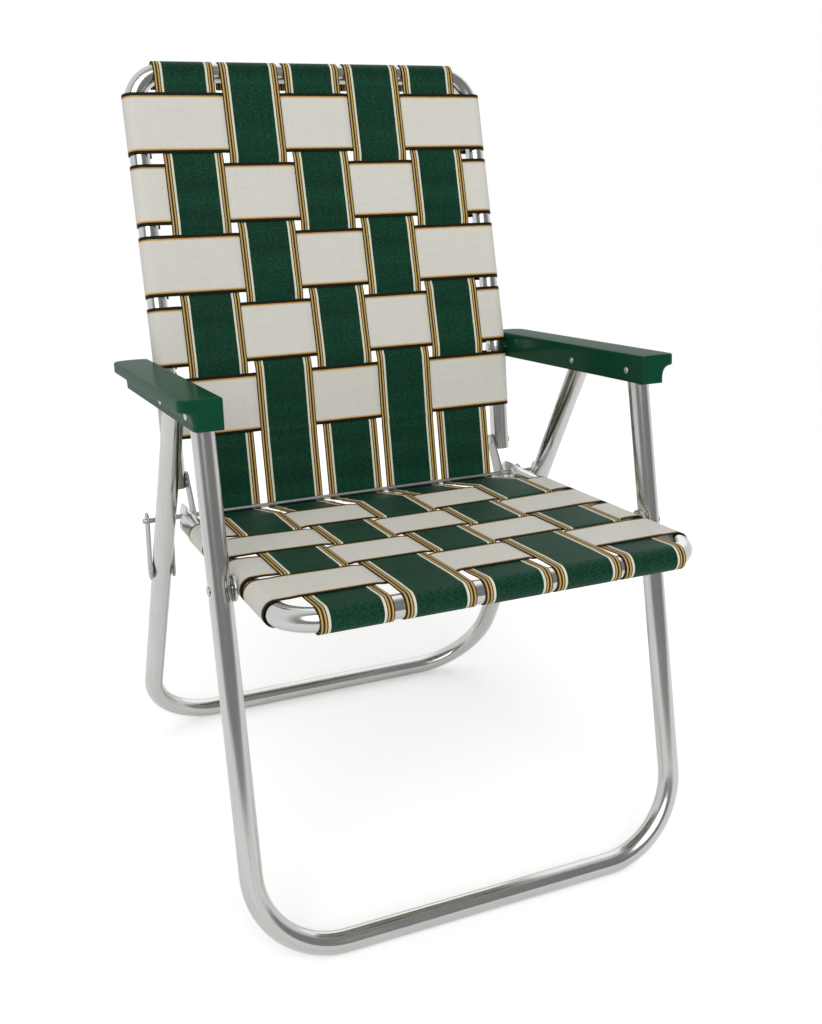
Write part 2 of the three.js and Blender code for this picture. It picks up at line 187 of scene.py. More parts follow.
def add_camera():
    place = np.array([-540.9, -1297.6, 913.5])
    yaw, pitch, roll = (math.radians(angle) for angle in (24.32, -17.54, 0.44))
    forward = np.array([
        math.sin(yaw) * math.cos(pitch),
        math.cos(yaw) * math.cos(pitch),
        math.sin(pitch),
    ])
    focal_pixels = 1181.5
    centre_x, centre_y = 427.9, 463.7
    level = np.array([math.cos(yaw), -math.sin(yaw), 0.0])
    upright = np.cross(level, forward)
    right = level * math.cos(roll) + upright * math.sin(roll)
    up = upright * math.cos(roll) - level * math.sin(roll)
    matrix = np.eye(4)
    matrix[:3, 0] = right
    matrix[:3, 1] = up
    matrix[:3, 2] = -forward
    matrix[:3, 3] = place * MM
    data = bpy.data.cameras.new("camera")
    data.sensor_fit = "AUTO"
    data.sensor_width = 36.0
    data.lens = focal_pixels / IMAGE_HEIGHT * data.sensor_width
    data.shift_x = (IMAGE_WIDTH / 2 - centre_x) / IMAGE_HEIGHT
    data.shift_y = (centre_y - IMAGE_HEIGHT / 2) / IMAGE_HEIGHT
    data.clip_start = 0.05
    data.clip_end = 200
    camera = bpy.data.objects.new("camera", data)
    camera.matrix_world = Matrix(matrix.tolist())
    bpy.context.scene.collection.objects.link(camera)
    bpy.context.scene.camera = camera


add_camera()


def tint(red, green, blue):
    """A colour as seen on a screen, from 0 to 255, turned into the linear one that Blender takes."""
    def linear(value):
        share = value / 255
        return share / 12.92 if share <= 0.04045 else ((share + 0.055) / 1.055) ** 2.4
    return (linear(red), linear(green), linear(blue), 1.0)


class Finish:
    """A node material: its shader's own sockets are set by name, and nodes are added to it."""

    def __init__(self, name, **sockets):
        self.material = bpy.data.materials.new(name)
        self.material.use_nodes = True
        self.tree = self.material.node_tree
        self.shader = self.tree.nodes["Principled BSDF"]
        for socket, value in sockets.items():
            self.shader.inputs[socket.replace("_", " ")].default_value = value

    def add(self, kind, values=(), **settings):
        node = self.tree.nodes.new(kind)
        for key, value in settings.items():
            setattr(node, key, value)
        for socket, value in dict(values).items():
            self.feed(node.inputs[socket], value)
        return node

    def feed(self, socket, value):
        if isinstance(value, bpy.types.NodeSocket):
            self.tree.links.new(value, socket)
        else:
            socket.default_value = value

    def math(self, operation, first, second=0.0):
        return self.add("ShaderNodeMath", {0: first, 1: second}, operation=operation).outputs[0]

    def noise(self, vector, scale, detail=3.0, roughness=0.5):
        values = {"Vector": vector, "Scale": scale, "Detail": detail, "Roughness": roughness}
        return self.add("ShaderNodeTexNoise", values).outputs["Fac"]

    def stretched(self, source, scale):
        return self.add("ShaderNodeMapping", {"Vector": source, "Scale": scale}).outputs["Vector"]

    def spread(self, value, low, high, to_low, to_high):
        values = {
            "Value": value,
            "From Min": low,
            "From Max": high,
            "To Min": to_low,
            "To Max": to_high,
        }
        return self.add("ShaderNodeMapRange", values).outputs["Result"]

    def mix(self, share, first, second, blend="MIX"):
        node = self.add("ShaderNodeMix", data_type="RGBA", blend_type=blend)
        self.feed(node.inputs[0], share)
        self.feed(node.inputs[6], first)
        self.feed(node.inputs[7], second)
        return node.outputs[2]

    def ramp(self, share, stops):
        node = self.add("ShaderNodeValToRGB", {"Fac": share})
        ramp = node.color_ramp
        while len(ramp.elements) < len(stops):
            ramp.elements.new(1.0)
        for element, (position, color) in zip(ramp.elements, stops):
            element.position = position
            element.color = color
        return node.outputs["Color"]

    def bump(self, height, strength, distance):
        values = {"Height": height, "Strength": strength, "Distance": distance}
        node = self.add("ShaderNodeBump", values)
        self.tree.links.new(node.outputs["Normal"], self.shader.inputs["Normal"])

    def uv(self):
        return self.add("ShaderNodeTexCoord").outputs["UV"]

    def place(self):
        return self.add("ShaderNodeTexCoord").outputs["Object"]

    def paint(self, socket, value):
        self.feed(self.shader.inputs[socket], value)


def aluminium():
    """Polished drawn tube: fine streaks along it and faint cloudy patches."""
    finish = Finish("polished_aluminium", Metallic=1.0, Anisotropic=0.35)
    uv = finish.uv()
    streaks = finish.noise(finish.stretched(uv, (900, 9, 1)), 1.0, 4.0, 0.6)
    clouds = finish.noise(finish.stretched(uv, (30, 12, 1)), 1.0, 3.0)
    color = finish.mix(clouds, tint(202, 203, 202), tint(221, 221, 218))
    color = finish.mix(finish.spread(streaks, 0.35, 0.7, 0.0, 0.35), color, tint(172, 173, 172))
    finish.paint("Base Color", color)
    rough = finish.math("MULTIPLY", streaks, 0.12)
    rough = finish.math("ADD", rough, finish.math("MULTIPLY", clouds, 0.08))
    finish.paint("Roughness", finish.math("ADD", rough, 0.08))
    finish.bump(streaks, 0.12, 0.0002)
    return finish.material


def steel(name, color, roughness):
    """Plated fasteners and plates: light brushing, with duller specks."""
    finish = Finish(name, Metallic=1.0)
    place = finish.place()
    brushed = finish.noise(finish.stretched(place, (2500, 260, 260)), 1.0, 3.0)
    specks = finish.noise(place, 900.0, 4.0, 0.7)
    dull = tuple(0.72 * value for value in color[:3]) + (1.0,)
    worn = finish.math("MULTIPLY", finish.spread(specks, 0.52, 0.75, 0.0, 1.0), 0.5)
    finish.paint("Base Color", finish.mix(worn, color, dull))
    finish.paint("Roughness", finish.math("ADD", finish.math("MULTIPLY", brushed, 0.22), roughness))
    finish.bump(brushed, 0.03, 0.0002)
    return finish.material


def moulded_plastic():
    """Glossy moulded armrest: a faint orange peel, soft flow marks and fine paler specks."""
    finish = Finish("green_plastic", Specular_IOR_Level=0.0, Coat_Weight=0.3, Coat_Roughness=0.18)
    place = finish.place()
    peel = finish.noise(place, 700.0, 2.0)
    flow = finish.noise(finish.stretched(place, (60, 8, 30)), 1.0, 3.0)
    grain = finish.noise(place, 2600.0, 2.0)
    color = finish.mix(flow, tint(8, 60, 40), tint(15, 74, 50))
    color = finish.mix(finish.spread(grain, 0.55, 0.75, 0.0, 0.25), color, tint(30, 92, 66))
    finish.paint("Base Color", color)
    finish.paint("Roughness", finish.math("ADD", finish.math("MULTIPLY", flow, 0.12), 0.26))
    finish.bump(finish.math("ADD", peel, finish.math("MULTIPLY", grain, 0.35)), 0.10, 0.0003)
    return finish.material


def webbing(name, field, fleck_and_highlight, stripes, fleck_and_highlight_share, run_share, roughness=0.5):
    """Woven strap: u runs across it and v along it, in metres. stripes go from the edge inwards, in mm."""
    finish = Finish(name, IOR=1.46, Specular_IOR_Level=0.14)
    split = finish.add("ShaderNodeSeparateXYZ", {"Vector": finish.uv()})
    across, along = split.outputs["X"], split.outputs["Y"]
    half = WEB_WIDTH * MM / 2
    waver = 0.0006
    rib_pitch = 0.0024
    thread_pitch = 0.0030
    blur = 0.2

    # The share of the way from the edge to the middle, a little unsteady
    from_middle = finish.math("ABSOLUTE", finish.math("SUBTRACT", across, half))
    uv = finish.uv()
    wander = finish.noise(finish.stretched(uv, (40, 90, 1)), 1.0, 3.0)
    shifted = finish.math("ADD", from_middle, finish.math("MULTIPLY", wander, waver))
    edge = finish.math("DIVIDE", finish.math("SUBTRACT", half + waver / 2, shifted), half)

    # Weft ribs across the strap and warp threads along it
    ribs = finish.math("SINE", finish.math("MULTIPLY", along, 2 * math.pi / rib_pitch))
    threads = finish.math("SINE", finish.math("MULTIPLY", across, 2 * math.pi / thread_pitch))
    offset_ribs = finish.math("MULTIPLY", ribs, threads)
    streaks = finish.noise(finish.stretched(uv, (230, 560, 1)), 1.0, 3.0, 0.6)
    runs = finish.noise(finish.stretched(uv, (420, 14, 1)), 1.0, 3.0, 0.6)
    bands = finish.noise(finish.stretched(uv, (3, 46, 1)), 1.0, 2.0)

    # The field, with darker runs and paler flecks that are partly random tone and partly painted highlight
    # on the weave ribs
    flecks_and_highlights = finish.math("ADD", finish.math("MULTIPLY", offset_ribs, 0.10), streaks)
    flecks_and_highlights = finish.math("ADD", flecks_and_highlights, finish.math("MULTIPLY", finish.math("SUBTRACT", bands, 0.5), 0.30))
    share = finish.math("MULTIPLY", finish.spread(flecks_and_highlights, 0.42, 0.72, 0.0, 1.0), fleck_and_highlight_share)
    body = finish.mix(share, field, fleck_and_highlight)
    dark = tuple(0.55 * value for value in field[:3]) + (1.0,)
    body = finish.mix(finish.spread(runs, 0.50, 0.72, 0.0, run_share), body, dark)

    # The stripes along both edges
    stops = []
    start = 0.0
    for width, color in stripes:
        stops.append(((start + blur) * MM / half, color))
        stops.append(((start + width - blur) * MM / half, color))
        start += width
    stops[0] = (0.0, stops[0][1])
    painted = finish.ramp(edge, stops)
    inside = finish.spread(edge, (start - blur) * MM / half, (start + blur) * MM / half, 0.0, 1.0)
    color = finish.mix(inside, painted, body)

    # Painted shade: the hollows between the ribs are darkened in the colour
    painted_rib_shade = finish.spread(ribs, -1.0, 1.0, 0.86, 1.0)
    painted_rib_shade_color = finish.add("ShaderNodeCombineColor", {0: painted_rib_shade, 1: painted_rib_shade, 2: painted_rib_shade}).outputs[0]
    finish.paint("Base Color", finish.mix(1.0, color, painted_rib_shade_color, "MULTIPLY"))
    finish.paint("Roughness", finish.math("ADD", finish.math("MULTIPLY", streaks, 0.22), roughness - 0.1))
    woven = finish.math("MULTIPLY", ribs, 0.5)
    woven = finish.math("ADD", woven, finish.math("MULTIPLY", offset_ribs, 0.35))
    woven = finish.math("ADD", woven, finish.math("MULTIPLY", streaks, 0.8))
    finish.bump(woven, 0.35, 0.0004)
    return finish.material


BROWN = tint(50, 38, 20)
GOLD = tint(196, 164, 96)
IVORY = tint(224, 220, 200)
OLIVE_BLACK = tint(24, 28, 14)
ORANGE = tint(190, 140, 80)
# Each pair is the field colour and the paler fleck colour, which is partly painted highlight
GREEN = (tint(4, 48, 32), tint(32, 96, 70))
CREAM = (tint(217, 215, 205), tint(227, 226, 218))
GREEN_STRIPES = ((1.4, BROWN), (1.8, GOLD), (2.2, BROWN), (1.8, GOLD), (1.3, BROWN), (2.8, IVORY))
CREAM_STRIPES = ((4.2, OLIVE_BLACK), (1.5, ORANGE), (1.2, tint(214, 196, 156)))

TUBE_FINISH = aluminium()
RIVET_FINISH = steel("rivet_metal", tint(205, 205, 202), 0.16)
PLATE_FINISH = steel("plate_metal", tint(176, 177, 175), 0.24)
ARM_FINISH = moulded_plastic()
GREEN_FINISH = webbing("green_webbing", *GREEN, GREEN_STRIPES, fleck_and_highlight_share=0.62, run_share=0.45)
CREAM_FINISH = webbing("cream_webbing", *CREAM, CREAM_STRIPES, fleck_and_highlight_share=0.5, run_share=0.10)


# Meshes
def add_mesh(name, points, faces, finish, corner_uv=None, sharp=None):
    mesh = bpy.data.meshes.new(name)
    mesh.from_pydata((np.asarray(points, float) * MM).tolist(), [], faces)
    if corner_uv is not None:
        layer = mesh.uv_layers.new(name="UVMap")
        layer.data.foreach_set("uv", np.asarray(corner_uv, np.float32).ravel())
    shape = bmesh.new()
    shape.from_mesh(mesh)
    bmesh.ops.recalc_face_normals(shape, faces=shape.faces)
    shape.to_mesh(mesh)
    shape.free()
    mesh.polygons.foreach_set("use_smooth", [len(face.vertices) < 5 for face in mesh.polygons])
    if sharp is not None:
        mesh.set_sharp_from_angle(angle=math.radians(sharp))
    mesh.materials.append(finish)
    mesh.update()
    piece = bpy.data.objects.new(name, mesh)
    bpy.context.scene.collection.objects.link(piece)
    return piece


def loft(name, rings, finish, uv, sharp=None):
    """A closed skin over rings of points. uv has one more column than a ring has points."""
    rings = np.asarray(rings, float)
    count, around = rings.shape[:2]
    row, column = np.meshgrid(np.arange(count - 1), np.arange(around), indexing="ij")
    following = (column + 1) % around
    corners = [
        row * around + column,
        row * around + following,
        (row + 1) * around + following,
        (row + 1) * around + column,
    ]
    faces = np.stack(corners, axis=-1).reshape(-1, 4).tolist()
    corner_uv = np.stack([
        uv[row, column],
        uv[row, column + 1],
        uv[row + 1, column + 1],
        uv[row + 1, column],
    ], axis=2).reshape(-1, 2)
    last = (count - 1) * around
    faces.append(list(range(around))[::-1])
    faces.append(list(range(last, last + around)))
    caps = np.concatenate([uv[0, :around][::-1], uv[-1, :around]])
    return add_mesh(name, rings.reshape(-1, 3), faces, finish, np.concatenate([corner_uv, caps]), sharp)


def settle(piece, body, slot, *nodes):
    """The piece moves with a body and stands for the nodes, which are hidden. The slot is not used."""
    if body:
        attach(piece, body)
    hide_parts(*nodes)
    return piece


# Bent tubes
def at(x, point):
    return np.array([x, point[0], point[1]], float)


def bent(corners):
    """The centre line of a bent tube. Each corner is a point and a bend radius, or 0 where it ends."""
    points = []
    for index, (corner, radius) in enumerate(corners):
        if not radius:
            points.append(corner)
            continue
        back = unit(corners[index - 1][0] - corner)
        ahead = unit(corners[index + 1][0] - corner)
        half = math.acos(float(np.clip(back @ ahead, -1, 1))) / 2
        centre = corner + unit(back + ahead) * radius / math.sin(half)
        spoke = corner + back * radius / math.tan(half) - centre
        turn = math.pi - 2 * half
        steps = max(3, round(math.degrees(turn) / 4))
        for angle in np.linspace(0, turn, steps + 1):
            points.append(centre + spoke * math.cos(angle) - back * radius * math.sin(angle))
    return np.array(points)


def travelled(points):
    steps = np.linalg.norm(np.diff(points, axis=0), axis=1)
    return np.concatenate([[0], np.cumsum(steps)])


def resampled(points, stops, step, near=14, near_step=2):
    """The same line with points at most a step apart, and closer near the stops."""
    closest = 0.4
    reach = travelled(points)
    dense = np.linspace(0, reach[-1], int(reach[-1]))
    line = np.stack([np.interp(dense, reach, points[:, axis]) for axis in range(3)], axis=1)
    wanted = [reach, np.arange(0, reach[-1], step)]
    for stop in stops:
        here = dense[np.argmin(np.linalg.norm(line - stop, axis=1))]
        wanted.append(np.arange(here - near, here + near + 0.1, near_step))
    wanted = np.sort(np.clip(np.concatenate(wanted), 0, reach[-1]))
    kept = [wanted[0]]
    for value in wanted[1:]:
        if value - kept[-1] > closest:
            kept.append(value)
    kept[-1] = reach[-1]
    return np.stack([np.interp(kept, reach, points[:, axis]) for axis in range(3)], axis=1)


def mirrored(corners):
    """The corners of the left half, and then those of the right half."""
    right = [(corner * np.array([-1, 1, 1]), radius) for corner, radius in corners]
    return corners + right[::-1]


def tube_skin(points, sides=36, bore_depth=14, rim=0.35):
    """Rings of a hollow tube along the points, with open ends, and their uv."""
    ways = np.diff(points, axis=0)
    ways /= np.linalg.norm(ways, axis=1)[:, None]
    tangents = np.vstack([ways[:1], ways[1:] + ways[:-1], ways[-1:]])
    tangents /= np.linalg.norm(tangents, axis=1)[:, None]
    normal = np.array([1.0, 0, 0])
    normals = []
    for tangent in tangents:
        normal = unit(normal - (normal @ tangent) * tangent)
        normals.append(normal)
    reach = travelled(points)
    bore = TUBE_R - TUBE_WALL
    ends = [(bore_depth, bore), (0, bore), (0, TUBE_R - rim), (rim, TUBE_R)]
    stations = [(points[0] + tangents[0] * deep, 0, radius) for deep, radius in ends]
    stations += [(points[k], k, TUBE_R) for k in range(1, len(points) - 1)]
    last = len(points) - 1
    stations += [(points[-1] - tangents[-1] * deep, last, radius) for deep, radius in ends[::-1]]
    angles = np.linspace(0, 2 * math.pi, sides + 1)
    rings, uv = [], []
    for centre, index, radius in stations:
        side_way = np.cross(tangents[index], normals[index])
        around = np.cos(angles)[:, None] * normals[index] + np.sin(angles)[:, None] * side_way
        rings.append(centre + radius * around[:-1])
        uv.append(np.stack([angles * TUBE_R * MM, np.full(sides + 1, reach[index] * MM)], axis=1))
    return np.array(rings), np.array(uv)


def dimpled(rings, tube_x, rivets, depth=0.7, radius=11, ease=0.45):
    """The tube is pressed a little flat under each rivet head."""
    rings = rings.copy()
    hand = np.sign(rings[..., 0])
    outward = np.abs(rings[..., 0]) - tube_x
    for rivet in rivets:
        away = np.hypot(rings[..., 1] - rivet[0], rings[..., 2] - rivet[1])
        near = smooth((radius - away) / (radius * ease))
        limit = TUBE_R - depth * near
        outward = np.where(near > 0, np.clip(outward, -limit, limit), outward)
    rings[..., 0] = hand * (outward + tube_x)
    return rings


def frame_tube(name, corners, body, node, tube_x, rivets, shape=None):
    stops = [at(hand * tube_x, rivet) for rivet in rivets for hand in (-1, 1)]
    rings, uv = tube_skin(resampled(bent(corners), stops, TUBE_STEP))
    rings = dimpled(rings, tube_x, rivets)
    if shape is not None:
        rings = shape(rings)
    return settle(loft(name, rings, TUBE_FINISH, uv, sharp=40), body, "tube", node)


def leg_corners(pivot, foot):
    top = pivot - unit(foot - pivot) * LEG_TOP_RISE
    return mirrored([(at(-LEG_X, top), 0), (at(-LEG_X, foot), FOOT_BEND_R)])


SEAT_WAY = unit(ROD - SEAT_FRONT)
SEAT_UP = flat(-SEAT_WAY[1], SEAT_WAY[0])
SEAT_LENGTH = np.linalg.norm(ROD - SEAT_FRONT)
UPPER_WAY = unit(ARM_BACK - BACK_TOP)
LOWER_WAY = unit(PLATE_RIVET - ARM_BACK)
UPPER_LENGTH = np.linalg.norm(ARM_BACK - BACK_TOP)


def ahead_of(way):
    """The direction square to a way down the back, towards the sitter."""
    return flat(way[1], -way[0])


def seat_point(along, above):
    return SEAT_FRONT + SEAT_WAY * along + SEAT_UP * above


def back_point(along, forward):
    if along < UPPER_LENGTH:
        return BACK_TOP + UPPER_WAY * along + ahead_of(UPPER_WAY) * forward
    return ARM_BACK + LOWER_WAY * (along - UPPER_LENGTH) + ahead_of(LOWER_WAY) * forward


def pressed_ends(rings):
    """The rear ends of the seat rails are pressed flat round the rod, and rounded."""
    rings = rings.copy()
    spot = rings[..., 1:] - SEAT_FRONT
    along = spot @ SEAT_WAY
    above = spot @ SEAT_UP
    hand = np.sign(rings[..., 0])
    outward = np.abs(rings[..., 0]) - RAIL_X
    share = smooth((along - (SEAT_LENGTH - TAB_STRAIGHT - TAB_TAPER)) / TAB_TAPER)
    radius = np.maximum(np.hypot(outward, above), 1)
    wall = TUBE_R - radius
    thin = (TAB_THICKNESS / 2 - wall) / radius
    wide = (TAB_HALF_WIDTH - wall) / radius
    changed = share > 0
    new_outward = outward * (1 + (thin - 1) * share)
    past_rod = np.clip((along - SEAT_LENGTH) / (TAB_RISE + 1), 0, 1)
    new_above = above * (1 + (wide - 1) * share) * np.sqrt(1 - past_rod ** 2)
    middle = RAIL_X + (TAB_X - RAIL_X) * share
    flat_spot = SEAT_FRONT + along[..., None] * SEAT_WAY + new_above[..., None] * SEAT_UP
    rings[..., 0] = np.where(changed, hand * (middle + new_outward), rings[..., 0])
    rings[..., 1:] = np.where(changed[..., None], flat_spot, rings[..., 1:])
    return rings


frame_tube("front_leg_tube", leg_corners(ARM_LEG, FRONT_FOOT), "front_legs", "front_leg_frame",
           LEG_X, [ARM_LEG, SEAT_LEG])
frame_tube("rear_leg_tube", leg_corners(ARM_REAR_LEG, REAR_FOOT), "rear_legs", "rear_leg_frame",
           LEG_X, [ARM_REAR_LEG, LINK_RIVET])

tab_steps = int(TAB_RISE + TAB_STRAIGHT + TAB_TAPER) // TAB_STEP + 2
seat_ends = [SEAT_LENGTH + TAB_RISE - TAB_STEP * step for step in range(tab_steps)]
seat_corners = mirrored(
    [(at(-RAIL_X, seat_point(along, 0)), 0) for along in seat_ends]
    + [(at(-RAIL_X, SEAT_FRONT), SEAT_BEND_R)]
)
frame_tube("seat_tube", seat_corners, "seat", "seat_frame", RAIL_X, [SEAT_LEG], shape=pressed_ends)

back_end = UPPER_LENGTH + np.linalg.norm(ARM_BACK - PLATE_RIVET) + BACK_TUBE_TAIL
back_corners = mirrored([
    (at(-RAIL_X, back_point(back_end, 0)), 0),
    (at(-RAIL_X, ARM_BACK), BACK_KINK_R),
    (at(-RAIL_X, BACK_TOP), BACK_BEND_R),
])
frame_tube("back_tube", back_corners, "back", "back_frame", RAIL_X, [ARM_BACK, PLATE_RIVET])


# Turned pieces along X
def turned(name, profile, point, hand, finish, sides=28):
    """A round piece about an axis across the chair. The profile lists a radius and a place along X."""
    angles = np.linspace(0, 2 * math.pi, sides + 1)
    rings, uv = [], []
    for radius, x in profile:
        spokes = np.stack([
            np.full(sides, hand * x),
            point[0] + radius * np.cos(angles[:-1]),
            point[1] + radius * np.sin(angles[:-1]),
        ], axis=1)
        rings.append(spokes)
        uv.append(np.stack([angles * radius * MM, np.full(sides + 1, x * MM)], axis=1))
    return loft(name, rings, finish, np.array(uv), sharp=50)


HEAD_ANGLES = np.radians([5, 22, 40, 58, 74, 86])


def low_head(x, head=RIVET_HEAD_R):
    """The profile of a domed head that stands towards the chair's middle, with its flat side at x."""
    rim = RIVET_HEAD_RIM
    dome = [(head * math.sin(a), x - rim - (RIVET_HEAD_HEIGHT - rim) * math.cos(a)) for a in HEAD_ANGLES]
    return dome + [(head, x - rim / 2), (head - rim, x), (RIVET_R, x)]


def high_head(x):
    return [(radius, 2 * x - place) for radius, place in low_head(x)][::-1]


def tip(x):
    return [(RIVET_R, x)]


LINK_INNER_X = LEG_X - TUBE_R - LINK_PLATE_GAP - LINK_PLATE_THICKNESS
LINK_OUTER_X = LEG_X + TUBE_R + LINK_PLATE_GAP
ARM_OUTER_X = ARM_INNER_X + ARM_BODY_WIDTH
RAIL_INNER = RAIL_X - TUBE_R
HINGE_PLATE_X = RAIL_INNER - FIT - HINGE_PLATE_THICKNESS
LEG_OUTER = LEG_X + TUBE_R
COLLAR = [
    (RIVET_R, COLLAR_X[0]),
    (COLLAR_R - COLLAR_EDGE, COLLAR_X[0]),
    (COLLAR_R, COLLAR_X[0] + COLLAR_EDGE),
    (COLLAR_R, COLLAR_X[1] - COLLAR_EDGE),
    (COLLAR_R - COLLAR_EDGE, COLLAR_X[1]),
    (RIVET_R, COLLAR_X[1]),
]
IN_ARM = (low_head(ARM_INNER_X, SMALL_HEAD_R), high_head(ARM_OUTER_X + FIT))
IN_BACK_TUBE = (low_head(RAIL_INNER + DENT), high_head(ARM_INNER_X + ARM_WALL + FIT))
IN_SEAT_RAIL = (low_head(RAIL_INNER + DENT) + COLLAR, high_head(LEG_OUTER - DENT))
IN_HINGE_PLATE = (low_head(HINGE_PLATE_X), high_head(RAIL_X + TUBE_R - DENT))
IN_INNER_LINK = (tip(LINK_INNER_X), tip(LEG_X - TUBE_R - FIT))
IN_OUTER_LINK = (tip(LEG_OUTER + FIT), high_head(LINK_OUTER_X + LINK_PLATE_THICKNESS))
RIVETS = {
    "arm_front_rivet": ("armrests", ARM_LEG, IN_ARM),
    "arm_middle_rivet": ("armrests", ARM_REAR_LEG, IN_ARM),
    "arm_rear_rivet": ("back", ARM_BACK, IN_BACK_TUBE),
    "seat_rivet": ("front_legs", SEAT_LEG, IN_SEAT_RAIL),
    "hinge_plate_rivet": ("back", PLATE_RIVET, IN_HINGE_PLATE),
    "link_rivet_inner": ("links", LINK_RIVET, IN_INNER_LINK),
    "link_rivet_outer": ("links", LINK_RIVET, IN_OUTER_LINK),
}
HANDS = (("left", -1), ("right", 1))
for rivet_name, (body, pivot, (low_end, high_end)) in RIVETS.items():
    for hand_name, hand in HANDS:
        node = f"{rivet_name}_{hand_name}"
        piece = turned(f"domed_{node}", low_end + high_end, pivot, hand, RIVET_FINISH)
        settle(piece, body, "hardware", node)

ROD_PROFILE = [
    (ROD_R - ROD_EDGE, -ROD_REACH),
    (ROD_R, -ROD_REACH + ROD_EDGE),
    *[(ROD_R, x) for x in np.linspace(-ROD_REACH + ROD_PLAIN_END, ROD_REACH - ROD_PLAIN_END, 30)],
    (ROD_R, ROD_REACH - ROD_EDGE),
    (ROD_R - ROD_EDGE, ROD_REACH),
]
settle(turned("cross_rod", ROD_PROFILE, ROD, 1, PLATE_FINISH), "seat", "hardware", "hinge_rod")


def plate(name, start, end, start_r, end_r, from_x, thickness, hand, edge=0.35):
    """A flat plate between two pivots, with round ends, soft edges and a hole at each pivot."""
    heading = math.atan2(end[1] - start[1], end[0] - start[0])
    opening = math.acos((start_r - end_r) / np.linalg.norm(end - start))
    first = np.linspace(heading + opening, heading - opening + 2 * math.pi, 28)
    second = np.linspace(heading - opening, heading + opening, 20)
    outline = [start + (start_r - edge) * flat(math.cos(a), math.sin(a)) for a in first]
    outline += [end + (end_r - edge) * flat(math.cos(a), math.sin(a)) for a in second]
    circle = np.linspace(0, 2 * math.pi, 24, endpoint=False)[::-1]
    hole_r = RIVET_R + FIT + edge
    loops = [outline]
    for centre in (start, end):
        loops.append([centre + hole_r * flat(math.cos(a), math.sin(a)) for a in circle])
    curve = bpy.data.curves.new(name, "CURVE")
    curve.dimensions = "2D"
    curve.fill_mode = "BOTH"
    curve.extrude = (thickness / 2 - edge) * MM
    curve.bevel_depth = edge * MM
    curve.bevel_resolution = 2
    for loop in loops:
        spline = curve.splines.new("POLY")
        spline.points.add(len(loop) - 1)
        for point, spot in zip(spline.points, loop):
            point.co = (spot[0] * MM, spot[1] * MM, 0, 1)
        spline.use_cyclic_u = True
    drawn = bpy.data.objects.new(name, curve)
    bpy.context.scene.collection.objects.link(drawn)
    bpy.context.view_layer.update()
    mesh = bpy.data.meshes.new_from_object(drawn.evaluated_get(bpy.context.evaluated_depsgraph_get()))
    bpy.data.objects.remove(drawn)
    middle = hand * (from_x + thickness / 2) * MM
    mesh.transform(Matrix(((0, 0, 1, middle), (1, 0, 0, 0), (0, 1, 0, 0), (0, 0, 0, 1))))
    shape = bmesh.new()
    shape.from_mesh(mesh)
    bmesh.ops.remove_doubles(shape, verts=shape.verts, dist=1e-6)
    bmesh.ops.recalc_face_normals(shape, faces=shape.faces)
    shape.to_mesh(mesh)
    shape.free()
    mesh.polygons.foreach_set("use_smooth", [len(face.vertices) < 5 for face in mesh.polygons])
    mesh.set_sharp_from_angle(angle=math.radians(35))
    mesh.materials.clear()
    mesh.materials.append(PLATE_FINISH)
    mesh.name = name
    piece = bpy.data.objects.new(name, mesh)
    bpy.context.scene.collection.objects.link(piece)
    return piece


for hand_name, hand in HANDS:
    piece = plate(f"hinge_arm_{hand_name}", ROD, PLATE_RIVET, HINGE_PLATE_R, HINGE_PLATE_TOP_R,
                  HINGE_PLATE_X, HINGE_PLATE_THICKNESS, hand)
    settle(piece, "back", "hardware", f"hinge_plate_{hand_name}")
    for place, from_x in (("inner", LINK_INNER_X), ("outer", LINK_OUTER_X)):
        piece = plate(f"link_{place}_{hand_name}", ROD, LINK_RIVET, LINK_PLATE_R, LINK_PLATE_R,
                      from_x, LINK_PLATE_THICKNESS, hand)
        settle(piece, "links", "hardware", f"link_plate_{place}_{hand_name}")


# Armrests, made along the line of their pivots and then tilted to it
ARM_WAY = unit(ARM_BACK - ARM_LEG)
ARM_UP = flat(-ARM_WAY[1], ARM_WAY[0])
ARM_START = -ARM_AHEAD
ARM_END = np.linalg.norm(ARM_BACK - ARM_LEG) + ARM_BEHIND
ARM_BOTTOM = ARM_TOP - ARM_HEIGHT


def quadratic(start, control, end, steps):
    """Points along a curve that leaves the start and meets the end on lines through the control point."""
    share = np.linspace(0, 1, steps + 1)[:, None]
    start, control, end = (np.array(p, float) for p in (start, control, end))
    return (1 - share) ** 2 * start + 2 * share * (1 - share) * control + share ** 2 * end


